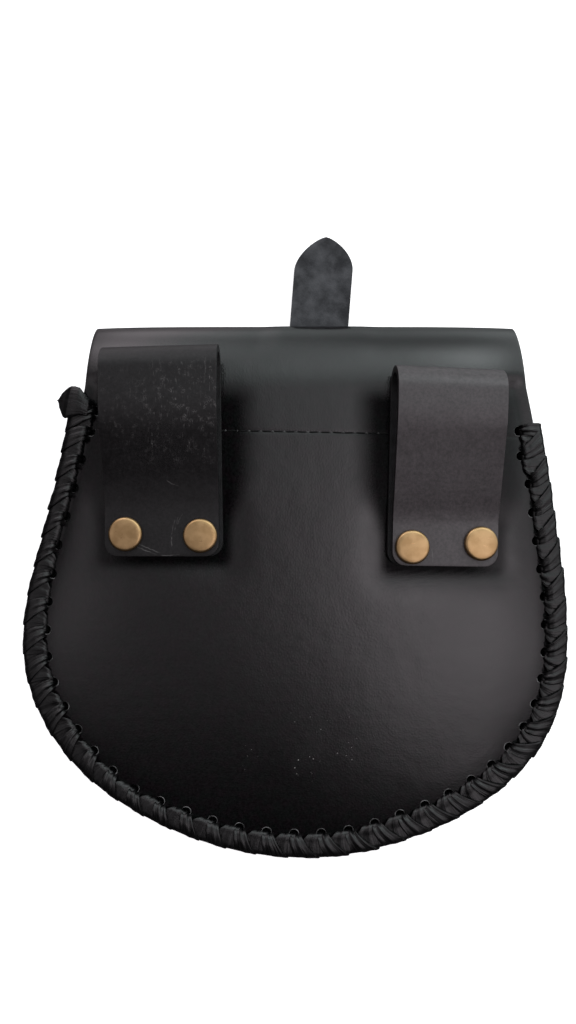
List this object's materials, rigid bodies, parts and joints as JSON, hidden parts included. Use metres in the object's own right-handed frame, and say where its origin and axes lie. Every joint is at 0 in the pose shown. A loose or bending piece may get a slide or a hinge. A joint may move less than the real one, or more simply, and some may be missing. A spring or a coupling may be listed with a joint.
{
  "type": "belt pouch",
  "caption": "U-shaped leather belt pouch with laced edges, a folded-over flap, two riveted belt loops on its back and a closing strap.",
  "frame": {"origin": "centre of the bounding box in X and Y, on the table that the pouch lies on", "axes": "+Y towards the fold and the strap's tip, +Z out of the pouch's back through the belt loops, +X to the right as the picture shows the back"},
  "size_m": [0.1908, 0.2248, 0.0469],
  "materials": {
    "smooth_leather": "smooth black grain side with a soft sheen",
    "loop_leather": "black grain side, satin, finely scratched and creased",
    "lace_leather": "flat black lace with polished ridges",
    "strap_leather": "matte, mottled flesh side",
    "brass": "satin antique brass"
  },
  "bodies": {
    "root": {"back_panel": "smooth_leather", "front_panel": "smooth_leather", "flap": "smooth_leather", "edge_lacing": "lace_leather", "belt_loop_left": "loop_leather", "belt_loop_right": "loop_leather", "rivet_left_outer": "brass", "rivet_left_inner": "brass", "rivet_right_inner": "brass", "rivet_right_outer": "brass", "closing_strap": "strap_leather", "hidden_clasp": "brass"}
  },
  "joints": []
}
